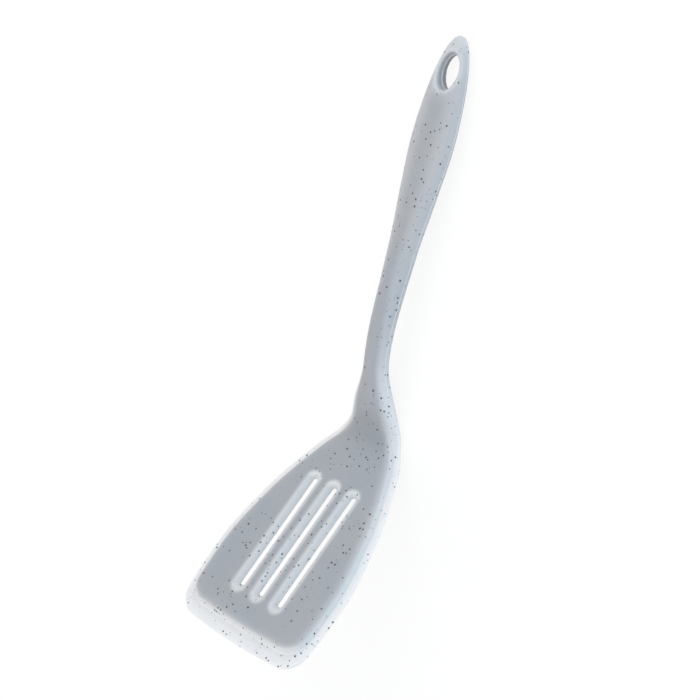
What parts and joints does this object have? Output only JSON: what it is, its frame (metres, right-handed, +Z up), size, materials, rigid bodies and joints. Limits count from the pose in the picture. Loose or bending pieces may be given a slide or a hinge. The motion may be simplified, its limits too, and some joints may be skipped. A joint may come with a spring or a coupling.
{
  "type": "slotted turner",
  "caption": "Slotted kitchen turner with a flat blade, cranked neck and swelling handle with a hanging hole, speckled silicone moulded over a stiff nylon core.",
  "frame": {"origin": "on the worktop, under the middle of the turner's box", "axes": "+Z up from the worktop, +Y along the turner from the blade to the end of the handle, +X across the blade"},
  "size_m": [0.088, 0.3036, 0.0789],
  "materials": {
    "silicone_front": "satin, slightly clear pale grey silicone with small dark specks",
    "silicone_back": "satin, slightly clear pale grey silicone with small dark specks",
    "nylon_core": "matt dark grey glass-filled nylon"
  },
  "bodies": {
    "root": {"silicone_front": "silicone_front", "silicone_back": "silicone_back", "nylon_core": "nylon_core"}
  },
  "joints": []
}
